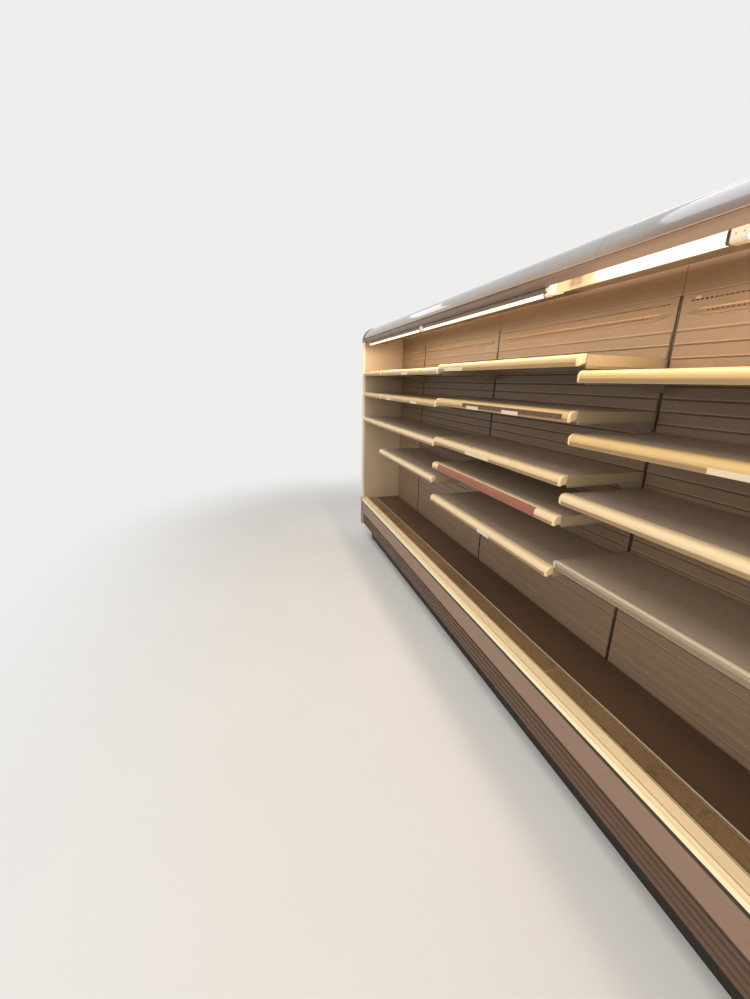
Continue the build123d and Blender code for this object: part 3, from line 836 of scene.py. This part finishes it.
def strip_section(low, high, proud, bottom=0.0, over_head=0):
    """A thin strip on a rail's face, from its foot to the groove or from a height to over the head."""
    foot, top = rail_face(low, high)
    front, back = low.y - proud, low.y + STRIP_PROUD
    if not over_head:
        return [(front, foot), (front, top), (back, top), (back, foot)]
    bottom += low.z
    middle = (low.y + TALL.radius, high.z - TALL.radius)
    outer = arc(middle, TALL.radius + proud, 180, 180 - over_head, 10)
    inner = arc(middle, TALL.radius - STRIP_PROUD, 180 - over_head, 180, 10)
    return [(front, bottom)] + outer + inner + [(back, bottom)]


def rail_face(low, high):
    """The heights between which a rail's flat face takes tickets."""
    _, groove = rail_kind(low, high)
    return low.z + STRIP_FOOT, groove - GROOVE_HEIGHT - STRIP_TOP_GAP


def build_rails():
    """Ticket rails with end caps, plain strips darkened as painted shade, coloured strips and a few blank
    tickets.
    """
    rails = {bay: solids(bay + "_ticket_rails") for bay in BAYS}
    strips = bmesh.new()
    for bay in BAYS:
        profile = bmesh.new()
        caps = bmesh.new()
        for low, high in rails[bay]:
            roots = (low.x + CAP_LENGTH, high.x - CAP_LENGTH)
            prism(profile, rail_section(low, high), roots[0] - RAIL_IN_CAP, roots[1] + RAIL_IN_CAP)
            domed_cap(caps, cap_section(low, high), roots[0], low.x - CAP_PROUD)
            domed_cap(caps, cap_section(low, high), roots[1], high.x + CAP_PROUD)
            # A plain strip on the rail's face, its finish darkened as painted shade.
            strip = strip_section(low, high, STRIP_PROUD)
            prism(strips, strip, low.x + STRIP_END_GAP, high.x - STRIP_END_GAP)
        piece(bay + "_rail_profiles", profile, "rail_plastic", [bay + "_ticket_rails"])
        piece(bay + "_rail_caps", caps, "rail_plastic", finish="rail_caps", smooth=50)
    piece("ticket_strips_darkened_as_shade", strips, "rail_plastic", bevel=0.0002)
    for name, (bay, shelf, start, stop, bottom, over_head, _) in STRIPS.items():
        low, high = rails[bay][shelf]
        bm = bmesh.new()
        prism(bm, strip_section(low, high, 2 * STRIP_PROUD, bottom, over_head), start, stop)
        piece(name, bm, "rail_plastic")
    tickets = bmesh.new()
    for bay, shelf, start, stop in TICKETS:
        low, high = rails[bay][shelf]
        bottom, top = rail_face(low, high)
        z = (bottom - TICKET_REACH[0], top + TICKET_REACH[1])
        block(tickets, (start, stop), (low.y - 3 * STRIP_PROUD, low.y), z)
    piece("blank_tickets", tickets, "rail_plastic", bevel=0.0003)


def rounded_below(low, high, front, back, steps):
    """The lower line of a section, with its two corners rounded in so many steps."""
    line = arc((low.y + front, low.z + front), front, 180, 270, steps[0])
    return line + arc((high.y - back, low.z + back), back, 270, 360, steps[1])


def build_lamp_ends():
    """Sockets and metal caps of the bare tubes, and the rounded housings of the covered lamps."""
    sockets, caps, housings, screws = (bmesh.new() for _ in range(4))
    tubes = solids("lamp_tubes")
    tube_ends = [end.x for tube in tubes for end in tube]
    tube_z = (tubes[0][0].z + tubes[0][1].z) / 2
    cap_radius = (tubes[0][1].y - tubes[0][0].y) / 2 + TUBE_CAP_PROUD
    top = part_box("lamp_holders")[1].z
    for low, high in solids("lamp_holders"):
        ends = [x for x in tube_ends if min(abs(x - low.x), abs(x - high.x)) < TOUCH]
        if not ends:
            section = rounded_below(low, high, HOUSING_ROUND, HOUSING_ROUND, (5, 5))
            prism(housings, section + [(high.y, high.z), (low.y, high.z)], low.x, high.x)
            x = (low.x + HOUSING_SEAM_ENDS[0], high.x - HOUSING_SEAM_ENDS[1])
            y = (low.y - HOUSING_SEAM_PROUD, low.y + TOUCH)
            block(housings, x, y, (low.z + HOUSING_SEAM[0], low.z + HOUSING_SEAM[1]))
            for x in (low.x + SCREW_ENDS[0], high.x - SCREW_ENDS[1]):
                place = (x, low.y, high.z - SCREW_DROP)
                dome(screws, place, (SCREW_REACH, SCREW_REACH), SCREW_HEIGHT, SCREW_DOME, 12)
            continue
        toward = 1 if abs(ends[0] - high.x) < TOUCH else -1
        root = low.x if toward > 0 else high.x
        face = root + toward * SOCKET_BODY
        middle = ((low.y + high.y) / 2, tube_z)
        body = rounded_below(low, high, SOCKET_ROUND, SOCKET_ROUND, (8, 8))
        prism(sockets, body + [(high.y, top), (low.y, top)], *sorted((root, face)))
        collar = sorted((face, ends[0]))
        prism(sockets, arc(middle, COLLAR_RADIUS, 0, 345, 23), *collar)
        y = (low.y + SOCKET_COVER[0], high.y - SOCKET_COVER[0])
        block(sockets, collar, y, (tube_z + SOCKET_COVER[1], top))
        cap = sorted((ends[0], ends[0] + toward * TUBE_CAP_LENGTH))
        prism(caps, arc(middle, cap_radius, 0, 345, 23), *cap)
    piece("lamp_sockets", sockets, "holder_plastic", ["lamp_holders"], bevel=0.0012)
    piece("lamp_housings", housings, "holder_plastic", ["lamp_holders"], bevel=0.0025)
    piece("tube_end_caps", caps, "inner_steel", bevel=0.0008)
    piece("housing_screws", screws, "inner_steel", bevel=0.0003)


def build_covers():
    """Milky covers of the near lamps: a small round in front and a wide one behind."""
    bm = bmesh.new()
    for low, high in solids("lamp_diffusers"):
        ledge = (low.y + COVER_LEDGE, high.z - COVER_LEDGE)
        section = rounded_below(low, high, COVER_FRONT_ROUND, COVER_BACK_ROUND, (6, 12))
        section += [(high.y, high.z), (ledge[0], high.z), ledge, (low.y, ledge[1])]
        prism(bm, section, low.x, high.x)
    piece("lamp_covers", bm, "diffuser_plastic", ["lamp_diffusers"], bevel=0.0006)


def build_coping():
    """The coping: a rounded front that laps over the panel below, and two fine grooves."""
    low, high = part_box("bumper_coping")
    top, foot = high.z, low.z - COPING_LAP
    face = low.y + COPING_LAP_SHEET
    section = [(face, low.z), (face, foot), (low.y + COPING_EDGE, foot), (low.y, foot + COPING_EDGE)]
    section += arc((low.y + COPING_ROUND, top - COPING_ROUND), COPING_ROUND, 180, 90, 10)
    for groove in COPING_GROOVES:
        start, end = low.y + groove, low.y + groove + COPING_GROOVE_WIDTH
        floor = top - COPING_GROOVE_DEPTH
        section += [(start, top), (start + COPING_GROOVE_SLOPE, floor)]
        section += [(end - COPING_GROOVE_SLOPE, floor), (end, top)]
    section += [(high.y - COPING_EDGE, top), (high.y, top - COPING_EDGE), (high.y, low.z)]
    bm = bmesh.new()
    prism(bm, section, low.x, high.x)
    piece("moulded_coping", bm, "coping_plastic", ["bumper_coping"], smooth=25)


def build_camera():
    forward = Vector((
        -cos(CAMERA_YAW) * cos(CAMERA_PITCH),
        sin(CAMERA_YAW) * cos(CAMERA_PITCH),
        sin(CAMERA_PITCH),
    ))
    right = Vector((sin(CAMERA_YAW), cos(CAMERA_YAW), 0))
    down = forward.cross(right)
    turned_right = cos(CAMERA_ROLL) * right + sin(CAMERA_ROLL) * down
    turned_down = cos(CAMERA_ROLL) * down - sin(CAMERA_ROLL) * right
    data = bpy.data.cameras.new("camera")
    data.sensor_fit = "HORIZONTAL"
    data.sensor_width = 36
    data.lens = CAMERA_LENS
    data.clip_end = 60
    camera = put("camera", data)
    turn = Matrix((turned_right, -turned_down, -forward)).transposed()
    camera.matrix_world = Matrix.Translation(CAMERA_PLACE) @ turn.to_4x4()
    bpy.context.scene.camera = camera


def area_light(name, place, aim, size, power, colour):
    """A soft rectangular light that the camera doesn't see."""
    data = bpy.data.lights.new(name, "AREA")
    data.shape = "RECTANGLE"
    data.size, data.size_y = size
    data.energy = power
    data.color = colour
    lamp = put(name, data)
    lamp.location = place
    lamp.rotation_euler = (Vector(aim) - Vector(place)).to_track_quat("-Z", "Y").to_euler()
    lamp.visible_camera = False
    return lamp


def build_light():
    """The world, studio lights, ceiling lights that only reflections show, and the lamps' own light."""
    world = bpy.data.worlds.new("studio")
    bpy.context.scene.world = world
    world.use_nodes = True
    tree = Tree(world.node_tree)
    tree.nodes.clear()
    soft = tree.add("Background", Color=(1.0, 0.985, 0.96, 1), Strength=WORLD_STRENGTH)[0]
    seen = tree.add("Background", Color=(*BACKGROUND, 1))[0]
    tree.add("OutputWorld", Surface=tree.wire("MixShader", (tree.seen_directly(), soft, seen))[0])

    for name, values in STUDIO_LIGHTS.items():
        area_light(name, *values).visible_glossy = name != "top"
    for n, ((x, y), size) in enumerate(CEILING_LIGHTS):
        power = CEILING_LIGHT_GLOW * pi * size[0] * size[1]
        place = (x, y, CEILING_HEIGHT)
        area_light("ceiling_%d" % n, place, (x, y, 0), size, power, CEILING_LIGHT).visible_diffuse = False
    down, aside = LAMP_LIGHT_AIM
    for n, (low, high) in enumerate(solids("lamp_tubes") + solids("lamp_diffusers")):
        x, y, z = (low + high) / 2
        size = (high.x - low.x, LAMP_LIGHT_WIDTH)
        foot, back = low.z - LAMP_LIGHT_GAPS[0], high.y + LAMP_LIGHT_GAPS[1]
        area_light("lamp_light_%d" % n, (x, y, foot), (x, y + aside, foot - down),
                   size, LAMP_POWER * size[0], LAMP_LIGHT)
        area_light("lamp_back_light_%d" % n, (x, back, z), (x, back + down, z + aside),
                   size, LAMP_BACK_POWER * size[0], LAMP_LIGHT)


def build_floor():
    """A pale floor that fades into the pale background far from the cabinet."""
    look = Finish((*FLOOR_COLOUR, 1), 0.6)
    look.shade(look.noise(0.8, 3.0), 0.985, 1.015)
    look.polish(look.noise(0.1, 4.0), 0.55, 0.7)
    material = look.done("floor")
    beyond = []
    for axis in (0, 1):
        past = look.maths("SUBTRACT", look.maths("ABSOLUTE", look.axes[axis]), cad_box[1][axis])
        beyond.append(look.maths("POWER", look.maths("MAXIMUM", past), 2))
    away = look.maths("SQRT", look.maths("ADD", *beyond))
    share = look.both(look.span(away, *FLOOR_FADE, kind="SMOOTHERSTEP"), look.seen_directly())
    pale = look.add("Emission", Color=(*BACKGROUND, 1))[0]
    surface = look.wire("MixShader", (share, look.shader.outputs[0], pale))[0]
    look.give(look.nodes["Material Output"], Surface=surface)
    bm = bmesh.new()
    bmesh.ops.create_grid(bm, x_segments=12, y_segments=12, size=24)
    floor = put_mesh("floor", bm, material)


def nose_look():
    """Glossy silver-grey nose: painted reflections, cool on top and warm and duller low down, painted light
    under its lip.
    """
    look = Finish((146, 145, 143), metallic=0.25, coat=0.25)
    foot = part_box("canopy_nose")[0].z
    look.shade(look.noise(0.5, 2.0, 6), 0.985, 1.015)
    # Painted reflection: cooler, bluer grey on the nose's top.
    look.tint(look.ease(2, *NOSE_TOP_REFLECTION), (170, 174, 182), 0.75)
    # Painted reflection: warm and darker towards the lower edge, darker still further along X.
    lower = look.blend(look.ease(0, *NOSE_REFLECTION_DARKENS_ALONG), (150, 128, 108), (122, 100, 84))
    look.tint(look.ease(2, *NOSE_WARM_REFLECTION), lower, 0.85)
    # Painted light on the underside of the nose's lip, which lies in shade.
    look.tint(look.rise(2, 0.0008, 0.0004, foot), (236, 210, 184), 0.4)
    look.tint(look.span(look.noise(0.004, 4.0, 6), 0.62, 0.75), (140, 132, 122), 0.12)
    look.polish(look.noise(0.35, 2.0, 8), 0.05, 0.08)
    look.give(look.shader, Coat_Roughness=0.05)
    return look


def valance_look():
    """Valance: painted shade under the nose and behind the bare tubes, and painted lamp light over the
    covered lamps.
    """
    look = painted((130, 100, 78), 0.36, along=6, worn_and_lit_edges=(152, 118, 92))
    # Painted shade under the nose, turning to painted lamp light towards the covered lamps.
    upper = look.blend(look.ease(0, *VALANCE_UPPER_LIT_ALONG), (120, 100, 84), (180, 146, 116))
    look.tint(look.ease(2, *VALANCE_UPPER_LIGHT_AND_SHADE), upper, 0.8)
    # Painted shade behind the bare tubes.
    look.tint((look.rise(0, *BARE_TUBES), look.ease(2, *VALANCE_FOOT_SHADE)), (92, 72, 56), 0.85)
    # Painted lamp light over the covered lamps.
    return look.tint((look.ease(0, *COVERED_LAMPS), look.ease(2, *VALANCE_LIT)), (168, 134, 104), 0.75)


def rail_look():
    """Ivory rails: warm painted lamp light up high, paler lower down, and a greyer one on the near bay's
    lowest shelf.
    """
    look = plastic((208, 172, 110), 0.3, coat=0.25, dirt=(214, 176, 118), dirty=0.1)
    # Painted light: the warm base colour stands for lamp light on the upper rails, and lower rails are
    # painted paler.
    look.tint(look.ease(2, *RAILS_BELOW_LAMP_GLOW), (228, 204, 164), 0.85)
    return greyed(look, (226, 206, 176), (150, 130, 108))


def greyed(look, colour, face=None):
    """Gives the near bay's lowest rail its own colour, and another to its face."""
    start, height = bay_limits["near_bay"][0], shelf_tops["near_bay"][0]
    own = look.both(look.rise(0, 0.0, 0.001, start), look.rise(2, 0.02, 0.019, height))
    look.tint(own, colour, 0.9)
    if face:
        look.tint((own, look.facing(1)), face, 0.9)
    return look


def lamp_look(colour, strength):
    """A lit milky cover or tube: warm rims, and amber at the darker end of the covered lamp."""
    look = plastic((228, 216, 194), 0.3, dirt=(236, 206, 164), dirty=0.1)
    low = solids("lamp_diffusers")[0][0]
    covered = look.rise(0, *LAMP_START, low.x)
    dim = look.both(look.ease(0, *LAMP_DIM, low.x), covered)
    burnt = look.both(*[look.ease(0, *limits, low.x) for limits in LAMP_BURNT])
    burnt = look.both(burnt, look.span(look.noise(0.016, 3.0), 0.30, 0.62, 0.7, 1.0))
    amber = look.blend(burnt, (250, 232, 158), (190, 132, 78))
    amber = look.blend(look.both(look.ease(2, *LAMP_LOWER, low.z), 0.6), amber, (255, 248, 190))
    look.tint(dim, (110, 80, 48), 0.9)
    ends = look.both(covered, look.facing(0))
    look.tint(ends, (104, 80, 56), 0.95)
    look.glow(look.blend(ends, look.blend(dim, colour, amber), (64, 46, 30)), strength)
    return look


def holder_look():
    """Cream sockets and housings, with the one beside the covered lamp's dim end lit from inside."""
    look = plastic((236, 218, 190), 0.4, dirty=0.12)
    start = solids("lamp_diffusers")[0][0].x
    lit = look.both(*[look.rise(0, *limits, start) for limits in HOUSING_LIT])
    look.glow(look.blend(lit, (0, 0, 0), (255, 246, 226)), 0.45)
    return look


def coping_look():
    """Ivory coping: shaded face, highlit bead and olive grooves, all painted light and shade; peach band;
    gold-olive back line.
    """
    low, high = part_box("bumper_coping")
    look = plastic((254, 224, 176), 0.3, coat=0.25, dirt=(170, 132, 84), dirty=0.15)
    # Painted shade on the coping's front face.
    face = look.rise(1, *COPING_FACE_SHADE, low.y)
    look.tint(face, (226, 200, 150), 0.8)
    # Painted highlight on the lower front bead.
    look.tint((face, look.rise(2, *COPING_BEAD_HIGHLIGHT, high.z)), (252, 240, 198), 0.9)
    # Painted shade in the grooves: olive in the front one, dark in the rear one.
    for groove, colour in zip(COPING_GROOVES, ((150, 122, 76), (92, 72, 44))):
        look.tint(look.band(1, 0.0, COPING_GROOVE_WIDTH, 0.0004, low.y + groove), colour, 0.8)
    behind = low.y + COPING_GROOVES[1] + 0.0032
    return look.tint(look.band(1, behind, high.y + 0.01, 0.0006), (178, 148, 96), 0.7)


def back_look():
    """Back panels: painted light and shade lines at the ridges, band and fold, lit header, painted shade in
    the slots.
    """
    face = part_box("back_panels")[1].y - SHEET
    look = painted((142, 118, 94), 0.42, tone=0.06, along=4)
    ridged = look.band(2, FIRST_RIDGE - RIDGE_SLOPE, LAST_RIDGE)
    header = look.band(2, WIDE_FROM + 0.004, 2.03)
    raised = look.band(1, -0.01, -0.0002, 0.0001, face)
    # Painted lamp light on the header's top, and painted shade below it.
    lit = look.span(look.ease(0, *HEADER_LIT_ALONG), 0.0, 1.0, 0.35, 1.0)
    look.tint((lit, look.ease(2, *HEADER_LIT)), (236, 226, 208))
    look.tint(look.band(2, *HEADER_SHADE, 0.02), (122, 104, 84), 0.7)
    # Painted shade and highlight lines on each ridge.
    look.tint((ridged, look.lines(2, FIRST_RIDGE, RIDGE_PITCH, 0.0032)), (84, 68, 52), 0.5)
    light = look.lines(2, FIRST_RIDGE + 0.0062, RIDGE_PITCH, 0.0026)
    look.tint((ridged, light), (198, 176, 146), 0.35)
    look.tint((header, look.lines(2, WIDE_FROM, 0.0185, 0.0016)), (112, 90, 68), 0.16)
    # Painted highlights and shade round the raised band.
    for low, high, soft, colour, amount in BAND_HIGHLIGHTS_AND_SHADE:
        look.tint((raised, look.band(2, low, high, soft, AIR_ROWS[0])), colour, amount)
    # Painted shade and highlight lines at the header's fold.
    for low, high, soft, colour, amount in FOLD_SHADE_AND_HIGHLIGHT:
        look.tint(look.band(2, low, high, soft, WIDE_FROM), colour, amount)
    # Painted shade in the air slots and behind the panel's face.
    look.tint(look.band(1, 0.0004, 0.01, 0.0001, face), (96, 72, 54), 0.85)
    above = look.rise(2, 0.0, 0.001, WIDE_FROM)
    for x in joints[1:-1]:
        look.tint((above, look.band(0, -SEAM, SEAM, 0.0008, x)), (84, 64, 46), 0.6)
    return look


def front_look():
    """Front panel: even mauve-brown, with painted shade under the coping, and dust and painted shade at its
    foot.
    """
    low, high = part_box("front_panel")
    look = painted((143, 114, 95), 0.4, tone=0.04, dirty=0.15, along=6)
    # Painted shade under the coping's lip.
    look.tint(look.rise(2, *FRONT_SHADE, high.z), (38, 24, 14), 0.95)
    # Dust and painted shade along the panel's foot.
    return look.tint(look.rise(2, *FRONT_FOOT_DUST_AND_SHADE, low.z), (84, 62, 44), 0.6)


def deck_look():
    """Deck pans: dark and dirty, and paler on top of their edges, as wear and painted highlight."""
    look = painted((90, 68, 50), 0.46, tone=0.14, dirty=0.45, along=3)
    # Wear and painted highlight on the top of the deck's lips.
    return look.tint(look.band(2, *DECK_FACE, 0.0008), (198, 178, 148), 0.85)


def shelf_look():
    """Shelf trays: grey tops, and folded sides made paler with painted light."""
    look = painted((166, 148, 128), 0.36, tone=0.06, along=3)
    # Painted light on the folded sides that face along X.
    return look.tint(look.facing(0), (180, 158, 126), 0.9)


def ceiling_look():
    """Canopy ceiling: tan sheet with lengthwise lines, a dull strip beside the lamps, and painted shade on
    it behind the bare tubes.
    """
    look = painted((250, 228, 198), 0.4, along=6)
    strip = look.band(2, -0.01, 0.003, base=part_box("ceiling_panels")[0].z)
    look.tint(strip, (119, 106, 87), 0.95)
    # Painted shade on the strip behind the bare tubes.
    look.tint((look.rise(0, *BARE_TUBES), strip), (84, 62, 42), 0.85)
    look.tint(look.band(1, *CEILING_LINE, 0.0008), (250, 220, 180), 0.3)
    return look.tint(look.lines(1, 0.0, 0.019, 0.0012), (126, 100, 76), 0.3)


def carcass_look():
    """Coated carcass sheets, with painted shade where the rear wall shows behind the shelves."""
    look = outer_skin((196, 194, 188), joints[1:-1])
    # Painted shade on the rear wall's front face, seen through the gaps between back panels.
    return look.tint(look.band(1, -0.002, 0.002, base=WALL_FRONT), (116, 94, 74), 0.95)


def side_look():
    """End panels: coated sheet outside, and warmer on the faces that look into the cabinet."""
    look = outer_skin((204, 202, 197), ())
    inside = look.span(look.maths("ABSOLUTE", look.axes[0]), joints[-1] + 0.001, joints[-1] + 0.0005)
    return look.tint(inside, (192, 168, 136), 0.9)


def build_finishes():
    """The materials, by the record's material slots or by the pieces that have their own."""
    looks = {
        "plinth_paint": painted((32, 22, 16), 0.6, dirt=(74, 60, 46), dirty=0.35),
        "carcass_skin": carcass_look(),
        "kick_plastic": plastic((96, 72, 56), 0.5, dirt=(60, 46, 36), dirty=0.4),
        "front_paint": front_look(),
        "coping_plastic": coping_look(),
        "grille_metal": painted((158, 124, 88), 0.5, tone=0.2, dirt=(78, 60, 38), dirty=0.65),
        "deck_paint": deck_look(),
        "inner_steel": painted((168, 170, 170), 0.4, metallic=0.8, tone=0.12),
        # Upright paint darkened as painted shade, where the uprights show in the gaps between back panels.
        "upright_paint": painted((52, 38, 26), 0.45, worn_and_lit_edges=(70, 54, 40)),
        "back_paint": back_look(),
        "nose_metal": nose_look(),
        "valance_paint": valance_look(),
        "outlet_plastic": plastic((150, 130, 102), 0.5),
        "ceiling_paint": ceiling_look(),
        "tube_glass": lamp_look((255, 246, 226), 0.72),
        "diffuser_plastic": lamp_look((255, 250, 238), 0.78),
        "holder_plastic": holder_look(),
        # Batten paint darkened as painted shade above the bare tubes.
        "batten_paint": painted((104, 84, 68), 0.4, along=6, worn_and_lit_edges=(150, 122, 98)),
        "side_paint": side_look(),
        "edging_plastic": plastic((98, 98, 100), 0.4, dirt=(70, 66, 62)),
        "trim_plastic": plastic((250, 232, 210), 0.35, dirty=0.12),
        "cap_plastic": plastic((148, 122, 110), 0.45),
        "shelf_paint": shelf_look(),
        "bracket_paint": painted((160, 144, 122), 0.42),
        "rail_plastic": rail_look(),
        "rail_caps": greyed(
            plastic((236, 206, 160), 0.32, dirt=(200, 160, 110), dirty=0.15),
            (206, 186, 158),
        ),
        # Ticket strip inserts, darkened as painted shade on the rails' upright faces.
        "ticket_strips_darkened_as_shade": greyed(
            plastic((150, 120, 82), 0.34, dirt=(132, 104, 76), dirty=0.1),
            (134, 114, 92),
        ),
        "blank_tickets": card((214, 196, 168)),
        "panel_plug": plastic((190, 162, 132), 0.35),
    }
    for name, values in STRIPS.items():
        looks[name] = card(values[-1])
    return {name: look.done(name) for name, look in looks.items()}


finishes = build_finishes()
for part in frame["record"]["subparts"]:
    dress(part["node"], finishes[part["material_slot"]])
build_uprights()
build_back_panels()
build_grilles()
build_outlets()
build_nose()
build_rails()
build_plug()
build_lamp_ends()
build_covers()
build_coping()
build_floor()
build_light()
build_camera()

bpy.context.scene.view_settings.view_transform = "Standard"
